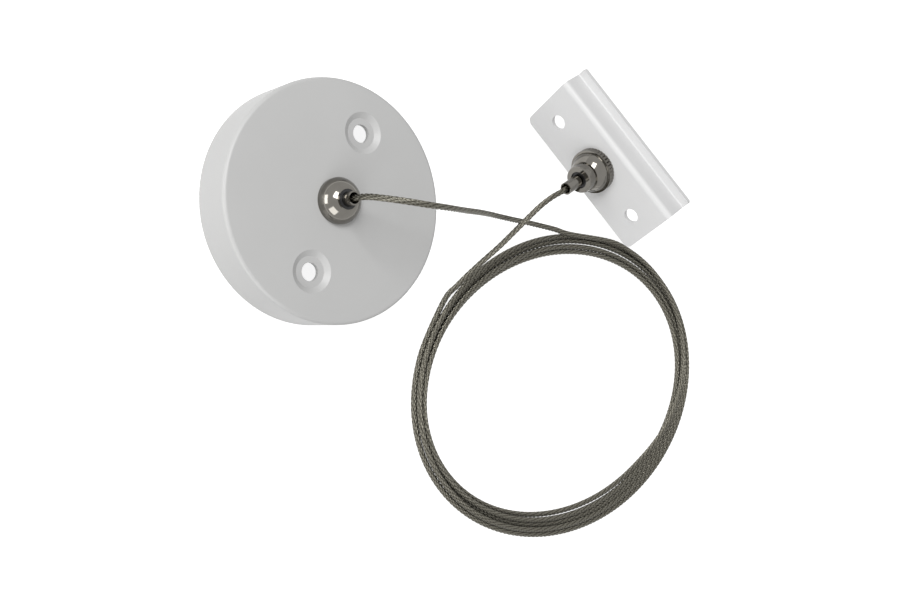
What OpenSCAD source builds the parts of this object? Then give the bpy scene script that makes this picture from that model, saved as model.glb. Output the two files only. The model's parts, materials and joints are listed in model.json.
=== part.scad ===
// Wire rope suspension kit lying on a flat surface: a round ceiling canopy, a wire rope wound
// into a loose coil, and a stepped wall bracket, with a spring cable gripper at each end.
// Millimetres, +Z up. The origin is the centre of the canopy's rim, on the surface.

/* [Canopy] */
// Outside diameter of the canopy
canopy_d = 60; // [52:1:80]
// Height of the canopy from its rim to its face
canopy_h = 13; // [13:0.5:20]
// Sheet thickness of the canopy
canopy_wall = 1.2; // [0.8:0.1:1.6]
// Rounding of the canopy's outer edge
canopy_edge_r = 0.9; // [0.8:0.1:3]
// Distance between the two ceiling screw holes
screw_pitch = 37.4; // [32:0.2:44]
// Diameter of each ceiling screw hole
screw_d = 4.5; // [3.5:0.1:6]
// Diameter of each screw dimple at the face
dimple_d = 10.4; // [9:0.1:12]
// Diameter of each screw dimple at its floor
dimple_floor_d = 7.6; // [7:0.1:8.8]
// Depth of each screw dimple
dimple_depth = 1; // [0.6:0.1:2]
// Turn of the screw line about the canopy's axis
screw_turn = 69; // [0:1:180]

/* [Bracket] */
// Length of the bracket
bracket_len = 48; // [44:1:70]
// Width of the bracket's main plate
plate_w = 19.5; // [18:0.5:30]
// Sheet thickness of the bracket
bracket_t = 1.2; // [0.8:0.1:1.6]
// Step between the main plate and the edge flange
step_h = 7; // [5:0.5:12]
// Width of the edge flange beyond the step
flange_w = 2.6; // [2:0.2:8]
// Distance between the two bracket screw holes
hole_pitch = 34; // [28:0.5:38]
// Diameter of each bracket screw hole
hole_d = 4.3; // [3:0.1:5]
// Distance of the hole line and gripper from the plate's free edge
hole_line = 8.7; // [8:0.1:12]
// Corner radius of the main plate
corner_r = 2; // [1:0.2:4]
// Corner radius of the edge flange
flange_corner_r = 0.8; // [0.4:0.2:2]
// Inside radius of the two bends
bend_r = 0.4; // [0.2:0.1:1]

/* [Cable grippers] */
// Outside diameter of the gripper bodies, which is their thread
thread_d = 7; // [6.8:0.1:8.4]
// Diameter of the dome nut on the canopy
dome_d = 11.4; // [10:0.2:14]
// Height of the dome nut's straight skirt
dome_skirt_h = 1.2; // [0.4:0.1:2]
// Height of the dome above the skirt
dome_h = 3.4; // [2.8:0.2:5]
// Diameter of the knurled nut on the bracket
knurl_d = 13; // [12:0.2:15]
// Height of the knurled rim
knurl_h = 2.2; // [1.6:0.1:3]
// Height of the whole knurled nut with its shoulder
knurl_nut_h = 5.2; // [4:0.2:6]
// How far the bracket gripper's barrel stands out round its thread
barrel_step = 0.5; // [0.2:0.1:1]
// Reach of the bracket gripper's barrel in front of the plate
barrel_reach = 8.4; // [7.6:0.2:10]
// Reach of the bracket gripper's plunger in front of the plate
bracket_tip = 14.8; // [13.4:0.2:17]
// Reach of the canopy gripper's plunger above the face
canopy_tip = 7.4; // [7:0.2:10]
// Outside diameter of the plungers
plunger_d = 3.5; // [3:0.1:4.2]
// Diameter of the clamping balls
ball_d = 1.3; // [1.1:0.1:1.6]
// Travel of each plunger when it is pressed in to free the wire
plunger_travel = 1.5; // [1:0.1:2]

/* [Wire rope] */
// Diameter of the wire rope
wire_d = 1.6; // [1.4:0.1:1.8]
// Long half-axis of the coil, at the middle of its bundle
coil_a = 53.6; // [50:0.2:56]
// Short half-axis of the coil, at the middle of its bundle
coil_b = 41; // [38:0.2:44]
// Width of the coil's bundle
bundle_w = 8.2; // [7:0.2:9]
// Height of the coil's bundle
bundle_h = 3.3; // [3:0.1:4]

/* [Hidden] */

$fn = 64;
cut = 1;              // how far a cutting tool runs past the face it opens
fit = 0.05;           // radial clearance of a running or screwed fit
seat = 0.05;          // clearance along an axis between pieces that seat on each other

// Finishes
powder_coat = [0.76, 0.76, 0.755];
bracket_coat = [0.86, 0.86, 0.86];
nickel = [0.72, 0.70, 0.66];
black = [0.04, 0.04, 0.045];
steel = [0.46, 0.46, 0.42];
spring_steel = [0.55, 0.55, 0.56];

// Canopy gripper, measured along its axis from the canopy's face
canopy_body_front = dome_skirt_h + 1.7;
canopy_body_rear = -8;
// Bracket gripper, measured along its axis from the plate's front face
bracket_body_rear = -5;
// Inside of a gripper body
front_wall = 1.2;
front_recess = 1.2;
chamber_wall = 0.75;
chamber_r = thread_d / 2 - chamber_wall;
plug_h = 1.5;
barrel_d = thread_d + 2 * barrel_step;
// Collar, balls and plunger
collar_d = plunger_d + 1.4;
collar_h = 1.8;
wire_r = wire_d / 2;
plunger_bore = wire_d + 0.3;
mouth_d = plunger_d - 0.7;
mouth_h = 1;
plunger_skirt = 2;
plunger_flange_h = 0.6;
plunger_flange_d = 2 * chamber_r - 0.9;
ball_orbit = wire_r + ball_d / 2 + fit;
ball_count = 3;
// Cone that the balls wedge in, narrowing to the front
cone_len = 3;
cone_slope = 0.25;
cone_to_ball = 1;
cone_front_r = ball_orbit + ball_d / 2 + 2 * fit - cone_slope * cone_to_ball;
cone_rear_r = cone_front_r + cone_slope * cone_len;
// Spring
spring_wire_r = 0.22;
spring_r = 1.8;
spring_turns = 5;
// Fasteners behind the sheets
washer_d = thread_d + 5;
washer_h = 0.8;
nut_af = thread_d + 4;
nut_h = 2.4;
// Wire tails and their ferrules, measured behind a gripper body
ferrule_gap = 0.3;
ferrule_d = 2.6;
ferrule_h = 2.2;
tail = 3;
wire_inset = 2.5;     // how far below a plunger's tip the straight wire ends

// Where the bracket stands: on one corner, held up by the stiff wire rope
bracket_pos = [72.1, 32.3, -0.45];
bracket_turn = [83, -22.5, -58];
// Where the coil lies
coil_pos = [87.2, -44.7, 0];
coil_turn = 12;

// Route of the wire from the canopy's gripper, over its arch and down to the coil
canopy_lead_pts = [
    [0, 0, 17.9], [0, 0, 22], [0.5, -0.2, 26], [2.5, -0.8, 30], [6.5, -1.4, 33], [12, -1.8, 34],
    [18, -1.7, 32.6], [24.5, -1.3, 29.2], [31, -0.7, 25], [38, 0, 20.4], [45, 0.5, 16],
    [52, 0.7, 12.4], [59, 0.8, 9.4], [66, 0.8, 7.1], [73, 0.6, 5.2], [80, 0.2, 3.8],
    [87, -0.6, 2.8], [94, -1.5, 2.45]
];
// Route of the wire from the coil up to the bracket's gripper
bracket_lead_pts = [
    [38.5, -25.7, 0.9], [41.6, -21.9, 1.3], [45.2, -18, 2], [49, -14.1, 3.2], [52.4, -10.4, 5.1],
    [55, -6.9, 8], [57, -3.2, 11.5], [59, 0.6, 15], [61.6, 4.1, 17.4], [64.8, 6.7, 18.4]
];

// Straight wire at the bracket's gripper, as a point along the gripper's axis
function turn_x(p, a) = [p[0], p[1] * cos(a) - p[2] * sin(a), p[1] * sin(a) + p[2] * cos(a)];
function turn_y(p, a) = [p[0] * cos(a) + p[2] * sin(a), p[1], p[2] * cos(a) - p[0] * sin(a)];
function turn_z(p, a) = [p[0] * cos(a) - p[1] * sin(a), p[0] * sin(a) + p[1] * cos(a), p[2]];
function on_bracket(p) =
    bracket_pos + turn_z(turn_y(turn_x(p, bracket_turn[0]), bracket_turn[1]), bracket_turn[2]);
function grip_axis(z) = on_bracket([bracket_len / 2, hole_line, z]);

bracket_lead = concat(
    bracket_lead_pts,
    [for (z = [bracket_tip + 2, bracket_tip - 0.3, bracket_tip - wire_inset]) grip_axis(z)]
);

// Smooth curve through the points of a route
function curve_point(a, b, c, d, t) = 0.5 * (
    2 * b + (c - a) * t + (2 * a - 5 * b + 4 * c - d) * t * t + (3 * b - a - 3 * c + d) * t * t * t
);
function at(pts, i) = pts[max(0, min(len(pts) - 1, i))];
function smooth_route(pts, n) = concat(
    [for (i = [0 : len(pts) - 2], k = [0 : n - 1])
        curve_point(at(pts, i - 1), at(pts, i), at(pts, i + 1), at(pts, i + 2), k / n)],
    [at(pts, len(pts) - 1)]
);
function unit(v) = v / norm(v);
function heading(pts, i) = unit(at(pts, i + 1) - at(pts, i - 1));

// Tube of a round section along a route, as one closed polyhedron
module tube(pts, r, sides) {
    guide = [0.31, 0.95, 0.05];
    rings = [for (i = [0 : len(pts) - 1])
        let (dir = heading(pts, i), side = unit(cross(dir, guide)), up = cross(side, dir))
        for (k = [0 : sides - 1])
            pts[i] + r * (cos(360 * k / sides) * side + sin(360 * k / sides) * up)];
    last = (len(pts) - 1) * sides;
    walls = [for (i = [0 : len(pts) - 2], k = [0 : sides - 1])
        let (a = i * sides + k, b = i * sides + (k + 1) % sides)
        for (face = [[a, a + sides, b], [b, a + sides, b + sides]]) face];
    caps = [[for (k = [0 : sides - 1]) k], [for (k = [sides - 1 : -1 : 0]) last + k]];
    polyhedron(points = rings, faces = concat(walls, caps));
}

// Places its children at the canopy gripper, with the canopy's face at z = 0
module at_canopy_grip() {
    translate([0, 0, canopy_h]) children();
}

// Places its children on the bracket, with the plate's front face at z = 0
module at_bracket() {
    translate(bracket_pos) rotate(bracket_turn) children();
}

module at_bracket_grip() {
    at_bracket() translate([bracket_len / 2, hole_line, 0]) children();
}

// Gripper body: a threaded tube with a ball cone behind its front wall, and a wider barrel in front
module grip_body(front, rear, recess, front_d, front_h) {
    cone_top = front - recess - front_wall;
    rim = 0.4;
    difference() {
        union() {
            translate([0, 0, rear]) cylinder(d = thread_d, h = front - rear - rim);
            translate([0, 0, front - front_h]) cylinder(d = front_d, h = front_h - rim);
            translate([0, 0, front - rim]) cylinder(d1 = front_d, d2 = front_d - rim, h = rim);
        }
        translate([0, 0, cone_top - cut]) cylinder(d = plunger_d + 2 * fit, h = front - cone_top + 2 * cut);
        translate([0, 0, cone_top - cone_len]) cylinder(r1 = cone_rear_r, r2 = cone_front_r, h = cone_len);
        translate([0, 0, rear - cut]) cylinder(r = chamber_r, h = cone_top - cone_len - rear + cut);
        translate([0, 0, front - recess]) cylinder(d = collar_d + 2 * fit, h = recess + cut);
    }
}

function ball_z(front, recess) = front - recess - front_wall - cone_to_ball;

// Plunger: a tube with a countersunk mouth, three ball windows and a spring flange
module plunger(tip, ball_at) {
    rear = ball_at - plunger_skirt;
    difference() {
        union() {
            translate([0, 0, rear]) cylinder(d = plunger_d, h = tip - rear);
            translate([0, 0, rear]) cylinder(d = plunger_flange_d, h = plunger_flange_h);
        }
        translate([0, 0, rear - cut]) cylinder(d = plunger_bore, h = tip - rear + 2 * cut);
        translate([0, 0, tip - mouth_h]) cylinder(d1 = plunger_bore, d2 = mouth_d, h = mouth_h);
        for (i = [0 : ball_count - 1])
            translate([0, 0, ball_at]) rotate([0, 90, 360 * i / ball_count])
                cylinder(d = ball_d + 2 * fit, h = plunger_d);
    }
}

module balls(ball_at) {
    for (i = [0 : ball_count - 1])
        rotate([0, 0, 360 * i / ball_count]) translate([ball_orbit, 0, ball_at]) sphere(d = ball_d);
}

// Spring between the end plug and the plunger's flange
module grip_spring(ball_at, rear) {
    low = rear + plug_h + spring_wire_r + seat;
    high = ball_at - plunger_skirt - spring_wire_r - seat;
    steps = spring_turns * 14;
    tube([for (i = [0 : steps])
        let (a = 360 * spring_turns * i / steps)
        [spring_r * cos(a), spring_r * sin(a), low + (high - low) * i / steps]], spring_wire_r, 6);
}

module end_plug(rear) {
    difference() {
        translate([0, 0, rear]) cylinder(r = chamber_r, h = plug_h);
        translate([0, 0, rear - cut]) cylinder(d = plunger_bore, h = plug_h + 2 * cut);
    }
}

module end_ferrule(rear) {
    difference() {
        translate([0, 0, rear - ferrule_gap - ferrule_h]) cylinder(d = ferrule_d, h = ferrule_h);
        translate([0, 0, rear - ferrule_gap - ferrule_h - cut]) cylinder(d = wire_d, h = ferrule_h + 2 * cut);
    }
}

module wire_end(tip, rear) {
    translate([0, 0, rear - tail]) cylinder(d = wire_d, h = tip - wire_inset - rear + tail);
}

module ring(outer, inner, low, high) {
    difference() {
        translate([0, 0, low]) cylinder(d = outer, h = high - low);
        translate([0, 0, low - cut]) cylinder(d = inner, h = high - low + 2 * cut);
    }
}

module hex_nut(top) {
    difference() {
        translate([0, 0, top - nut_h]) cylinder(d = nut_af / cos(30), h = nut_h, $fn = 6);
        translate([0, 0, top - nut_h - cut]) cylinder(d = thread_d + 2 * fit, h = nut_h + 2 * cut);
    }
}

// Places its children at each ceiling screw, with the canopy's face at z = 0
module at_screws() {
    for (side = [-1, 1])
        rotate([0, 0, screw_turn]) translate([side * screw_pitch / 2, 0, canopy_h]) children();
}

// Solid puck with a rounded top edge
module puck(d, h, edge) {
    rotate_extrude() {
        square([d / 2 - edge, h]);
        square([d / 2, h - edge]);
        intersection() {
            translate([d / 2 - edge, h - edge]) circle(r = edge);
            translate([0, h - edge]) square([d / 2, edge]);
        }
    }
}

module canopy_cap() color(powder_coat) {
    floor_z = canopy_wall + dimple_depth;
    difference() {
        union() {
            difference() {
                puck(canopy_d, canopy_h, canopy_edge_r);
                translate([0, 0, -cut])
                    puck(canopy_d - 2 * canopy_wall, canopy_h - canopy_wall + cut, canopy_edge_r - canopy_wall / 2);
            }
            at_screws() translate([0, 0, -floor_z])
                cylinder(d1 = dimple_floor_d + canopy_wall, d2 = dimple_d + canopy_wall, h = dimple_depth + canopy_wall / 2);
        }
        at_screws() translate([0, 0, -dimple_depth]) cylinder(d1 = dimple_floor_d, d2 = dimple_d, h = dimple_depth);
        at_screws() cylinder(d = dimple_d, h = cut);
        at_screws() translate([0, 0, -floor_z - cut]) cylinder(d = screw_d, h = floor_z + 2 * cut);
        translate([0, 0, canopy_h - canopy_wall - cut]) cylinder(d = thread_d + 2 * fit, h = canopy_wall + 2 * cut);
    }
}

// Ball cap cut flat on top
module dome(base_d, top_d, h) {
    drop = (pow(base_d / 2, 2) - pow(top_d / 2, 2) - h * h) / (2 * h);
    intersection() {
        translate([0, 0, -drop]) sphere(r = norm([base_d / 2, drop]));
        cylinder(d = base_d + 2 * h, h = h);
    }
}

module canopy_dome_nut() color(nickel) at_canopy_grip() {
    rim = 0.45;
    difference() {
        union() {
            cylinder(d = dome_d, h = dome_skirt_h);
            translate([0, 0, dome_skirt_h]) dome(dome_d, collar_d + 2 * rim, dome_h);
        }
        translate([0, 0, -cut]) cylinder(d = thread_d + 2 * fit, h = canopy_body_front + seat + cut);
        cylinder(d = collar_d + 2 * fit, h = dome_skirt_h + dome_h + cut);
    }
}

module canopy_collar() color(black) at_canopy_grip() {
    ring(collar_d, plunger_d + 2 * fit, canopy_body_front, canopy_body_front + collar_h);
}

module canopy_grip_body() color(nickel) at_canopy_grip() {
    grip_body(canopy_body_front, canopy_body_rear, 0, thread_d, 1);
}

module canopy_washer() color(steel) at_canopy_grip() {
    ring(washer_d, thread_d + 2 * fit, -canopy_wall - washer_h, -canopy_wall);
}

module canopy_hex_nut() color(nickel) at_canopy_grip() {
    hex_nut(-canopy_wall - washer_h);
}

module canopy_plunger() color(nickel) at_canopy_grip() {
    plunger(canopy_tip, ball_z(canopy_body_front, 0));
}

module canopy_grip_balls() color(steel) at_canopy_grip() {
    balls(ball_z(canopy_body_front, 0));
}

module canopy_grip_spring() color(spring_steel) at_canopy_grip() {
    grip_spring(ball_z(canopy_body_front, 0), canopy_body_rear);
}

module canopy_end_plug() color(black) at_canopy_grip() {
    end_plug(canopy_body_rear);
}

module canopy_end_ferrule() color(nickel) at_canopy_grip() {
    end_ferrule(canopy_body_rear);
}

module wire_end_canopy() color(steel) at_canopy_grip() {
    wire_end(canopy_tip, canopy_body_rear);
}

// Block with its corners rounded: low_r at the free edge, high_r at the far edge
module rounded_block(len, width, depth, low_r, high_r) {
    block_h = depth + 2 * cut;
    translate([0, 0, -depth - cut]) {
        translate([0, low_r, 0]) cube([len, width - low_r - high_r, block_h]);
        translate([low_r, 0, 0]) cube([len - 2 * low_r, width / 2, block_h]);
        translate([high_r, width / 2, 0]) cube([len - 2 * high_r, width / 2, block_h]);
        for (x = [low_r, len - low_r])
            translate([x, low_r, 0]) cylinder(r = low_r, h = block_h);
        for (x = [high_r, len - high_r])
            translate([x, width - high_r, 0]) cylinder(r = high_r, h = block_h);
    }
}

// Quarter bend of the sheet about the origin, from its bottom edge round to its left edge
module bend(turn) {
    outer = bend_r + bracket_t;
    rotate(turn) intersection() {
        difference() {
            circle(r = outer);
            circle(r = bend_r);
        }
        translate([-outer, -outer]) square(outer);
    }
}

// Stepped bracket: main plate, step to the back, and a narrow edge flange
module bracket_plate() color(bracket_coat) at_bracket() {
    outer = bend_r + bracket_t;
    top_w = plate_w + flange_w;
    difference() {
        intersection() {
            rotate([90, 0, 90]) linear_extrude(bracket_len) {
                translate([0, -bracket_t]) square([plate_w - outer, bracket_t]);
                translate([plate_w - outer, -outer]) bend(180);
                translate([plate_w - bracket_t, bend_r - step_h]) square([bracket_t, step_h - bend_r - outer]);
                translate([plate_w + bend_r, bend_r - step_h]) bend(0);
                translate([plate_w + bend_r, -step_h - bracket_t]) square([flange_w - bend_r, bracket_t]);
            }
            rounded_block(bracket_len, top_w, step_h + bracket_t, corner_r, flange_corner_r);
        }
        translate([bracket_len / 2, hole_line, 0]) {
            translate([0, 0, -bracket_t - cut]) cylinder(d = thread_d + 2 * fit, h = bracket_t + 2 * cut);
            for (side = [-1, 1])
                translate([side * hole_pitch / 2, 0, -bracket_t - cut]) cylinder(d = hole_d, h = bracket_t + 2 * cut);
        }
    }
}

// Knurled nut: a rim cut with straight grooves, and a domed shoulder that narrows to the barrel
module bracket_knurled_nut() color(nickel) at_bracket_grip() {
    grooves = 40;
    groove = 0.35;
    neck_d = barrel_d + 0.6;
    shoulder_d = knurl_d - 1.2;
    difference() {
        union() {
            cylinder(d = knurl_d, h = knurl_h);
            translate([0, 0, knurl_h]) dome(shoulder_d, neck_d, knurl_nut_h - knurl_h);
        }
        translate([0, 0, -cut]) cylinder(d = thread_d + 2 * fit, h = knurl_nut_h + 2 * cut);
        for (i = [0 : grooves - 1])
            rotate([0, 0, 360 * i / grooves]) translate([knurl_d / 2, 0, -cut]) rotate([0, 0, 45])
                translate([-groove / 2, -groove / 2, 0]) cube([groove, groove, knurl_h + cut - 0.3]);
    }
}

module bracket_collar() color(black) at_bracket_grip() {
    low = barrel_reach - front_recess;
    ring(collar_d, plunger_d + 2 * fit, low, low + front_recess - 0.4);
}

module bracket_grip_body() color(nickel) at_bracket_grip() {
    grip_body(barrel_reach, bracket_body_rear, front_recess, barrel_d, barrel_reach - knurl_nut_h - seat);
}

module bracket_washer() color(steel) at_bracket_grip() {
    ring(washer_d, thread_d + 2 * fit, -bracket_t - washer_h, -bracket_t);
}

module bracket_hex_nut() color(nickel) at_bracket_grip() {
    hex_nut(-bracket_t - washer_h);
}

module bracket_plunger() color(nickel) at_bracket_grip() {
    plunger(bracket_tip, ball_z(barrel_reach, front_recess));
}

module bracket_grip_balls() color(steel) at_bracket_grip() {
    balls(ball_z(barrel_reach, front_recess));
}

module bracket_grip_spring() color(spring_steel) at_bracket_grip() {
    grip_spring(ball_z(barrel_reach, front_recess), bracket_body_rear);
}

module bracket_end_plug() color(black) at_bracket_grip() {
    end_plug(bracket_body_rear);
}

module bracket_end_ferrule() color(nickel) at_bracket_grip() {
    end_ferrule(bracket_body_rear);
}

module wire_end_bracket() color(steel) at_bracket_grip() {
    wire_end(bracket_tip, bracket_body_rear);
}

module wire_canopy_lead() color(steel) {
    tube(smooth_route(canopy_lead_pts, 2), wire_r, 8);
}

module wire_bracket_lead() color(steel) {
    tube(smooth_route(bracket_lead, 2), wire_r, 8);
}

// Outer shape of the wound turns: an oval ring
module wire_coil() color(steel) translate(coil_pos) rotate([0, 0, coil_turn]) {
    linear_extrude(bundle_h) difference() {
        oval(bundle_w / 2);
        oval(-bundle_w / 2);
    }
}

module oval(grow) {
    steps = 72;
    polygon([for (i = [0 : steps - 1])
        [(coil_a + grow) * cos(360 * i / steps), (coil_b + grow) * sin(360 * i / steps)]]);
}

canopy_cap();
canopy_dome_nut();
canopy_collar();
canopy_grip_body();
canopy_washer();
canopy_hex_nut();
canopy_plunger();
canopy_grip_balls();
canopy_grip_spring();
canopy_end_plug();
canopy_end_ferrule();
wire_end_canopy();
bracket_plate();
bracket_knurled_nut();
bracket_collar();
bracket_grip_body();
bracket_washer();
bracket_hex_nut();
bracket_plunger();
bracket_grip_balls();
bracket_grip_spring();
bracket_end_plug();
bracket_end_ferrule();
wire_end_bracket();
wire_canopy_lead();
wire_coil();
wire_bracket_lead();
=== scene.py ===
# Look of the wire rope suspension kit: camera, wire rope, materials, floor and lights.
# Lengths are in metres, in the model's own frame.
import json
import math
import bpy
from mathutils import Matrix, Vector


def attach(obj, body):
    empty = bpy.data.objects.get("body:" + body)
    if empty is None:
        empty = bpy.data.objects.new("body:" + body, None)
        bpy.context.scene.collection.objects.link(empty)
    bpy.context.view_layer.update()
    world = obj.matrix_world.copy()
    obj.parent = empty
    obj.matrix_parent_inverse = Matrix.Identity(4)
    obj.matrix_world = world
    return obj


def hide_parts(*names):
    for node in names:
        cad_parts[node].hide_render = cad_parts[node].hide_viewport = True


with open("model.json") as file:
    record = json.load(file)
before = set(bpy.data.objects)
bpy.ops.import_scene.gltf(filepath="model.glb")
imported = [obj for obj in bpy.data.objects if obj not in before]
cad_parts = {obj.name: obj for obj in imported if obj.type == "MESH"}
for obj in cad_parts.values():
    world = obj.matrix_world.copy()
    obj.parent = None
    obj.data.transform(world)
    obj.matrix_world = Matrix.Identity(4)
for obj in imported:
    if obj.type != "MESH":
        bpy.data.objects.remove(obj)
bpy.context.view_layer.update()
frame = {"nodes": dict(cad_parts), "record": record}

scene = bpy.context.scene
MM = 0.001

# ---------------------------------------------------------------- camera
CAMERA_AT = Vector((-131.0, -33.7, 230.5)) * MM
CAMERA_AIM = Vector((44.4, -21.9, 0.0)) * MM
CAMERA_ROLL = math.radians(88.0)
LENS = 42.0


def add_camera():
    data = bpy.data.cameras.new("camera")
    data.lens = LENS
    data.sensor_width = 36.0
    data.clip_start = 0.01
    camera = bpy.data.objects.new("camera", data)
    scene.collection.objects.link(camera)
    aim = (CAMERA_AIM - CAMERA_AT).to_track_quat("-Z", "Y").to_matrix().to_4x4()
    camera.matrix_world = Matrix.Translation(CAMERA_AT) @ aim @ Matrix.Rotation(CAMERA_ROLL, 4, "Z")
    scene.camera = camera


add_camera()
scene.view_settings.view_transform = "Standard"

# ---------------------------------------------------------------- wire rope
WIRE_D = 1.6 * MM
WIRE_R = WIRE_D / 2
STRANDS = 6
SIDES_PER_STRAND = 6
LAY = 9.5 * MM           # length in which a strand goes once round the rope
RING_STEP = 0.5 * MM

# From the canopy's gripper, over its arch and down to the coil
CANOPY_LEAD = [
    (0, 0, 17.9), (0, 0, 22), (0.5, -0.2, 26), (2.5, -0.8, 30), (6.5, -1.4, 33), (12, -1.8, 34),
    (18, -1.7, 32.6), (24.5, -1.3, 29.2), (31, -0.7, 25), (38, 0, 20.4), (45, 0.5, 16),
    (52, 0.7, 12.4), (59, 0.8, 9.4), (66, 0.8, 7.1), (73, 0.6, 5.2), (80, 0.2, 3.8),
    (87, -0.6, 2.8), (94, -1.5, 2.45),
]
# From the coil up to the bracket's gripper
BRACKET_LEAD = [
    (38.5, -25.7, 0.9), (41.6, -21.9, 1.3), (45.2, -18, 2), (49, -14.1, 3.2), (52.4, -10.4, 5.1),
    (55, -6.9, 8), (57, -3.2, 11.5), (59, 0.6, 15), (61.6, 4.1, 17.4), (64.8, 6.7, 18.4),
]
# The bracket's gripper: its tip's axis, as modelled
BRACKET_POS = Vector((72.1, 32.3, -0.45))
BRACKET_TURN = [math.radians(a) for a in (83, -22.5, -58)]
GRIP_ON_PLATE = Vector((24, 8.7, 0))
BRACKET_TIP = 14.8
WIRE_INSET = 2.5

# The coil: an oval bundle of turns
COIL_AT = Vector((87.2, -44.7, 0))
COIL_A = 53.6
COIL_B = 41.0
COIL_TURN = math.radians(12)
COIL_START = 72          # degrees round the oval where the first turn begins, going clockwise
COIL_TURNS = 4.81
POINTS_PER_TURN = 36
TOUCH = 1.63             # distance between two ropes that touch
MIDDLE_TURN = 2.5        # the turn that lies in the middle of the bundle
TIGHT_AT = 175           # degrees round the oval where the bundle is pulled together
TIGHT_TURN = 0.7         # the same place, as a part of a turn
SETTLE = 0.38            # part of a turn in which the first stretch crosses over to the inside
FIRST_ACROSS = 2.6       # how far outside the bundle's middle the first stretch begins
DROP_FROM = 0.75         # part of the first stretch that stays on top before it drops
LIFT = 0.02              # gap between the lowest turns and the surface
WANDER = ((0.1, 8.6, 0), (0.07, 23, 1))    # unevenness of the turns: width, rate and phase
CURVE_STEPS = 16         # points worked out between two route points


def bracket_matrix():
    rx, ry, rz = (Matrix.Rotation(a, 4, axis) for a, axis in zip(BRACKET_TURN, "XYZ"))
    return Matrix.Translation(BRACKET_POS) @ rz @ ry @ rx


def smoothstep(a, b, x):
    t = max(0.0, min(1.0, (x - a) / (b - a)))
    return t * t * (3 - 2 * t)


def coil_point(turn):
    """A point of the wound rope: turns side by side, every other one climbing where the bundle is tight."""
    degrees = COIL_START - 360 * turn
    angle = math.radians(degrees)
    tight = (0.5 + 0.5 * math.cos(math.radians(degrees - TIGHT_AT))) ** 3
    lane = TOUCH * (1 - tight / 2)
    across = (turn - MIDDLE_TURN) * lane
    resting = WIRE_R / MM + LIFT
    height = resting
    if round(turn - TIGHT_TURN) % 2 == 1:
        height += math.sqrt(max(0.0, TOUCH ** 2 - lane ** 2))
    if turn < SETTLE:
        part = smoothstep(0, SETTLE, turn)
        across = FIRST_ACROSS * (1 - part) + across * part
        height = resting + TOUCH * (1 - smoothstep(SETTLE * DROP_FROM, SETTLE, turn))
    across += sum(width * math.sin(rate * turn + phase) for width, rate, phase in WANDER)
    normal = Vector((math.cos(angle) / COIL_A, math.sin(angle) / COIL_B, 0)).normalized()
    flat = Vector((COIL_A * math.cos(angle), COIL_B * math.sin(angle), 0)) + normal * across
    return COIL_AT + Matrix.Rotation(COIL_TURN, 3, "Z") @ flat + Vector((0, 0, height))


def catmull(a, b, c, d, t):
    return 0.5 * (2 * b + (c - a) * t + (2 * a - 5 * b + 4 * c - d) * t * t
                  + (3 * b - a - 3 * c + d) * t * t * t)


def spaced(points, step):
    """Points on the smooth curve through the given ones, a step apart."""
    ends = [2 * points[0] - points[1]] + points + [2 * points[-1] - points[-2]]
    fine = []
    for a, b, c, d in zip(ends, ends[1:], ends[2:], ends[3:]):
        fine += [catmull(a, b, c, d, k / CURVE_STEPS) for k in range(CURVE_STEPS)]
    fine.append(points[-1])
    total = sum((q - p).length for p, q in zip(fine, fine[1:]))
    count = max(2, round(total / step))
    result = [fine[0]]
    walked = 0.0
    target = total / count
    for p, q in zip(fine, fine[1:]):
        piece = (q - p).length
        while len(result) < count and walked + piece >= target * len(result):
            result.append(p.lerp(q, (target * len(result) - walked) / piece))
        walked += piece
    result.append(fine[-1])
    return result, total


def wire_route():
    steps = round(COIL_TURNS * POINTS_PER_TURN)
    coil = [coil_point(COIL_TURNS * k / steps) for k in range(1, steps)]
    grip = [bracket_matrix() @ (GRIP_ON_PLATE + Vector((0, 0, z)))
            for z in (BRACKET_TIP + 2, BRACKET_TIP - 0.3, BRACKET_TIP - WIRE_INSET)]
    points = [Vector(p) for p in CANOPY_LEAD[:-1]] + coil + [Vector(p) for p in BRACKET_LEAD[1:]] + grip
    return [p * MM for p in points]


def frames_along(points):
    """A steady pair of side directions at each point, with no twist of their own."""
    side = Vector((1, 0, 0))
    result = []
    for i, p in enumerate(points):
        ahead = points[min(i + 1, len(points) - 1)] - points[max(i - 1, 0)]
        ahead.normalize()
        side = (side - ahead * side.dot(ahead)).normalized()
        result.append((side, ahead.cross(side)))
    return result


def strand_radius(angle):
    """Outline of six round strands laid side by side round the rope's axis."""
    centre = WIRE_R * 2 / 3
    strand = WIRE_R / 3
    off = (angle + math.pi / STRANDS) % (2 * math.pi / STRANDS) - math.pi / STRANDS
    return centre * math.cos(off) + math.sqrt(max(0.0, strand ** 2 - (centre * math.sin(off)) ** 2))


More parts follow.
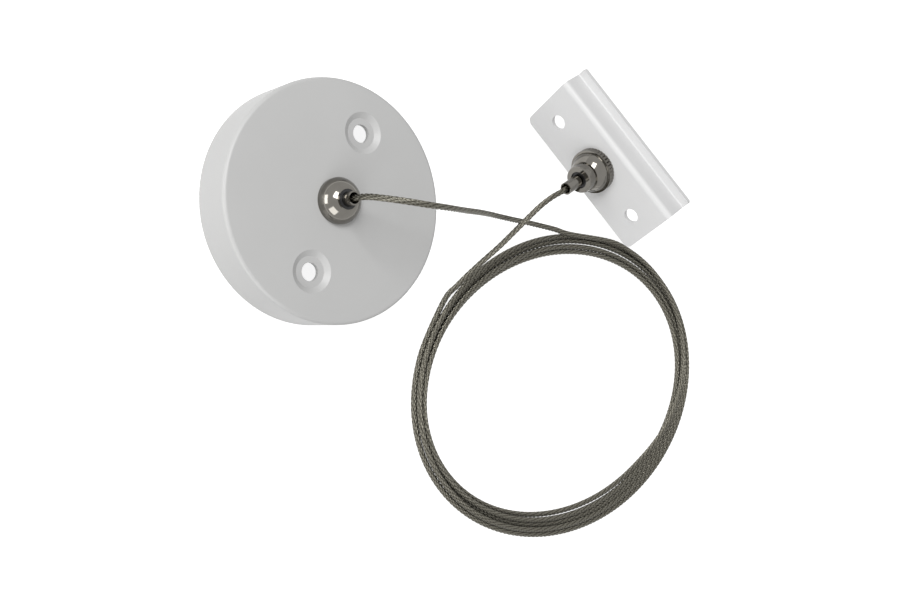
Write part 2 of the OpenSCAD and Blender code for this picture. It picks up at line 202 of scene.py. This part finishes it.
def rope_mesh(name, points):
    around = SIDES_PER_STRAND * STRANDS
    angles = [2 * math.pi * k / around for k in range(around)]
    radii = [strand_radius(a) for a in angles]
    verts = []
    walked = 0.0
    along = []
    for i, (p, (side, up)) in enumerate(zip(points, frames_along(points))):
        walked += (p - points[i - 1]).length if i else 0.0
        along.append(walked)
        twist = 2 * math.pi * walked / LAY
        verts += [p + r * (math.cos(a + twist) * side + math.sin(a + twist) * up)
                  for a, r in zip(angles, radii)]
    faces = [(i * around + k, i * around + (k + 1) % around,
              (i + 1) * around + (k + 1) % around, (i + 1) * around + k)
             for i in range(len(points) - 1) for k in range(around)]
    last = (len(points) - 1) * around
    faces.append(tuple(reversed(range(around))))
    faces.append(tuple(last + k for k in range(around)))
    mesh = bpy.data.meshes.new(name)
    mesh.from_pydata(verts, [], faces)
    mesh.polygons.foreach_set("use_smooth", [True] * len(mesh.polygons))
    layer = mesh.uv_layers.new(name="lay")
    for face in mesh.polygons[:-2]:
        ring, k = divmod(face.index, around)
        corners = ((ring, k), (ring, k + 1), (ring + 1, k + 1), (ring + 1, k))
        for loop, (r, c) in zip(face.loop_indices, corners):
            layer.data[loop].uv = (along[r] * 1000, c / SIDES_PER_STRAND)
    mesh.update()
    rope = bpy.data.objects.new(name, mesh)
    scene.collection.objects.link(rope)
    return rope


route, route_length = spaced(wire_route(), RING_STEP)
rope = rope_mesh("wire_rope", route)
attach(rope, "root")
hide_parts("wire_canopy_lead", "wire_coil", "wire_bracket_lead")
print("rope length", round(route_length, 4), "m")


# ---------------------------------------------------------------- materials
def new_material(name, color, metallic, roughness):
    material = bpy.data.materials.new(name)
    material.use_nodes = True
    shader = material.node_tree.nodes["Principled BSDF"]
    shader.inputs["Base Color"].default_value = (*color, 1)
    shader.inputs["Metallic"].default_value = metallic
    shader.inputs["Roughness"].default_value = roughness
    return material, material.node_tree, shader


def background_rays(tree):
    """1 for the rays that show the white background: the camera's, and those off metal or through glass."""
    rays = tree.nodes.new("ShaderNodeLightPath")
    shown = rays.outputs["Is Camera Ray"]
    for name in ("Is Glossy Ray", "Is Transmission Ray"):
        either = tree.nodes.new("ShaderNodeMath")
        either.operation = "MAXIMUM"
        tree.links.new(shown, either.inputs[0])
        tree.links.new(rays.outputs[name], either.inputs[1])
        shown = either.outputs["Value"]
    return shown


def add_noise(tree, scale, detail):
    where = tree.nodes.new("ShaderNodeTexCoord")
    noise = tree.nodes.new("ShaderNodeTexNoise")
    noise.inputs["Scale"].default_value = scale
    noise.inputs["Detail"].default_value = detail
    tree.links.new(where.outputs["Object"], noise.inputs["Vector"])
    return noise


def add_ramp(tree, source, low, high, start=0.3, end=0.7):
    ramp = tree.nodes.new("ShaderNodeValToRGB")
    ramp.color_ramp.elements[0].position = start
    ramp.color_ramp.elements[0].color = (*low, 1)
    ramp.color_ramp.elements[1].position = end
    ramp.color_ramp.elements[1].color = (*high, 1)
    tree.links.new(source, ramp.inputs["Fac"])
    return ramp


def add_bump(tree, shader, height, distance, strength=1.0):
    bump = tree.nodes.new("ShaderNodeBump")
    bump.inputs["Strength"].default_value = strength
    bump.inputs["Distance"].default_value = distance
    tree.links.new(height, bump.inputs["Height"])
    tree.links.new(bump.outputs["Normal"], shader.inputs["Normal"])


def powder_coat(name, color):
    """Satin powder coat: fine orange peel, with slightly uneven gloss."""
    material, tree, shader = new_material(name, color, 0.0, 0.42)
    peel = add_noise(tree, 1500, 2)
    add_bump(tree, shader, peel.outputs["Fac"], 0.00003, 0.35)
    cloud = add_noise(tree, 60, 4)
    darker = [c * 0.97 for c in color]
    tint = add_ramp(tree, cloud.outputs["Fac"], darker, color)
    tree.links.new(tint.outputs["Color"], shader.inputs["Base Color"])
    gloss = add_ramp(tree, cloud.outputs["Fac"], [0.38] * 3, [0.48] * 3)
    tree.links.new(gloss.outputs["Color"], shader.inputs["Roughness"])
    return material


def polished_nickel(name):
    """Dark polished nickel plate, a little warm, with a fine uneven gloss."""
    color = (0.2, 0.19, 0.172)
    material, tree, shader = new_material(name, color, 1.0, 0.08)
    smear = add_noise(tree, 400, 4)
    tint = add_ramp(tree, smear.outputs["Fac"], [c * 0.9 for c in color], color)
    tree.links.new(tint.outputs["Color"], shader.inputs["Base Color"])
    gloss = add_ramp(tree, smear.outputs["Fac"], [0.05] * 3, [0.14] * 3)
    tree.links.new(gloss.outputs["Color"], shader.inputs["Roughness"])
    marks = add_noise(tree, 2200, 2)
    add_bump(tree, shader, marks.outputs["Fac"], 0.00001, 0.2)
    return material


def zinc_steel(name):
    color = (0.5, 0.5, 0.51)
    material, tree, shader = new_material(name, color, 1.0, 0.3)
    spangle = add_noise(tree, 700, 3)
    tint = add_ramp(tree, spangle.outputs["Fac"], [c * 0.85 for c in color], color)
    tree.links.new(tint.outputs["Color"], shader.inputs["Base Color"])
    add_bump(tree, shader, spangle.outputs["Fac"], 0.00002, 0.3)
    return material


def black_plastic(name):
    color = (0.012, 0.012, 0.013)
    material, tree, shader = new_material(name, color, 0.0, 0.4)
    grain = add_noise(tree, 1800, 2)
    tint = add_ramp(tree, grain.outputs["Fac"], color, [c * 1.6 for c in color])
    tree.links.new(tint.outputs["Color"], shader.inputs["Base Color"])
    add_bump(tree, shader, grain.outputs["Fac"], 0.00003, 0.3)
    return material


def rope_steel(name, coords):
    """Stainless strands: each strand's own wires show as fine ridges, with painted shade darkening the
    grooves between them.
    """
    color = (0.17, 0.162, 0.135)
    material, tree, shader = new_material(name, color, 1.0, 0.3)
    where = tree.nodes.new("ShaderNodeTexCoord")
    wires = tree.nodes.new("ShaderNodeTexWave")
    wires.wave_type = "BANDS"
    wires.bands_direction = "DIAGONAL" if coords == "UV" else "Z"
    wires.inputs["Scale"].default_value = 0.55 if coords == "UV" else 300
    wires.inputs["Distortion"].default_value = 0.3
    tree.links.new(where.outputs[coords], wires.inputs["Vector"])
    add_bump(tree, shader, wires.outputs["Fac"], 0.00006, 0.8)
    # The near-black low end of this ramp falls in the bump's valleys: painted shade in the grooves between
    # the wires.
    tint = add_ramp(tree, wires.outputs["Fac"], (0.05, 0.046, 0.036), color, 0.0, 0.5)
    tree.links.new(tint.outputs["Color"], shader.inputs["Base Color"])
    patches = add_noise(tree, 120, 3)
    gloss = add_ramp(tree, patches.outputs["Fac"], [0.28] * 3, [0.46] * 3)
    tree.links.new(gloss.outputs["Color"], shader.inputs["Roughness"])
    return material


canopy_coat = powder_coat("canopy_coat", (0.53, 0.53, 0.525))
bracket_coat = powder_coat("bracket_coat", (0.7, 0.7, 0.7))
nickel = polished_nickel("nickel")
zinc = zinc_steel("zinc_steel")
black = black_plastic("black_part")
rope_laid = rope_steel("wire_rope", "UV")
rope_end = rope_steel("wire_rope_end", "Object")

FINISHES = {
    "canopy_coat": canopy_coat,
    "bracket_coat": bracket_coat,
    "nickel": nickel,
    "zinc_steel": zinc,
    "black_part": black,
    "wire_rope": rope_end,
}
NODE_SLOTS = {part["node"]: part["material_slot"] for part in frame["record"]["subparts"]}

for node_name, obj in frame["nodes"].items():
    obj.data.materials.clear()
    obj.data.materials.append(FINISHES[NODE_SLOTS[node_name]])
rope.data.materials.append(rope_laid)


# ---------------------------------------------------------------- floor, world and lights
FLOOR_HALF = 3.0
FLOOR_DROP = 0.00005     # keeps the floor just under the lowest piece


def add_floor():
    mesh = bpy.data.meshes.new("floor")
    corners = [(-1, -1), (1, -1), (1, 1), (-1, 1)]
    verts = [(FLOOR_HALF * x, FLOOR_HALF * y, -FLOOR_DROP) for x, y in corners]
    mesh.from_pydata(verts, [], [(0, 1, 2, 3)])
    floor = bpy.data.objects.new("floor", mesh)
    scene.collection.objects.link(floor)
    material, tree, shader = new_material("floor", (0.5, 0.5, 0.5), 0.0, 0.9)
    shader.inputs["Specular IOR Level"].default_value = 0.0
    # The camera, and rays off metal or through glass, see a white floor that still takes a soft shadow.
    white = tree.nodes.new("ShaderNodeEmission")
    white.inputs["Strength"].default_value = 0.9
    lifted = tree.nodes.new("ShaderNodeAddShader")
    mix = tree.nodes.new("ShaderNodeMixShader")
    tree.links.new(shader.outputs["BSDF"], lifted.inputs[0])
    tree.links.new(white.outputs["Emission"], lifted.inputs[1])
    tree.links.new(background_rays(tree), mix.inputs["Fac"])
    tree.links.new(shader.outputs["BSDF"], mix.inputs[1])
    tree.links.new(lifted.outputs["Shader"], mix.inputs[2])
    tree.links.new(mix.outputs["Shader"], tree.nodes["Material Output"].inputs["Surface"])
    floor.data.materials.append(material)


def add_world():
    world = bpy.data.worlds.new("world")
    world.use_nodes = True
    tree = world.node_tree
    room = tree.nodes["Background"]
    room.inputs["Color"].default_value = (1, 1, 1, 1)
    room.inputs["Strength"].default_value = 0.36
    white = tree.nodes.new("ShaderNodeBackground")
    white.inputs["Color"].default_value = (1, 1, 1, 1)
    white.inputs["Strength"].default_value = 1.0
    mix = tree.nodes.new("ShaderNodeMixShader")
    tree.links.new(background_rays(tree), mix.inputs["Fac"])
    tree.links.new(room.outputs["Background"], mix.inputs[1])
    tree.links.new(white.outputs["Background"], mix.inputs[2])
    tree.links.new(mix.outputs["Shader"], tree.nodes["World Output"].inputs["Surface"])
    scene.world = world


def add_lamp(name, at, size, power, aim=(0.06, -0.02, 0.0)):
    data = bpy.data.lights.new(name, "AREA")
    data.shape = "RECTANGLE"
    data.size, data.size_y = size
    data.energy = power
    lamp = bpy.data.objects.new(name, data)
    lamp.location = at
    lamp.rotation_euler = (Vector(aim) - Vector(at)).to_track_quat("-Z", "Y").to_euler()
    scene.collection.objects.link(lamp)


add_floor()
add_world()
add_lamp("key", (-0.35, 0.25, 0.55), (0.35, 0.25), 2.9)
add_lamp("fill", (-0.3, -0.5, 0.25), (0.4, 0.3), 1.2)
add_lamp("side", (-0.45, 0.02, 0.08), (0.3, 0.12), 0.55, (0.0, 0.0, 0.015))
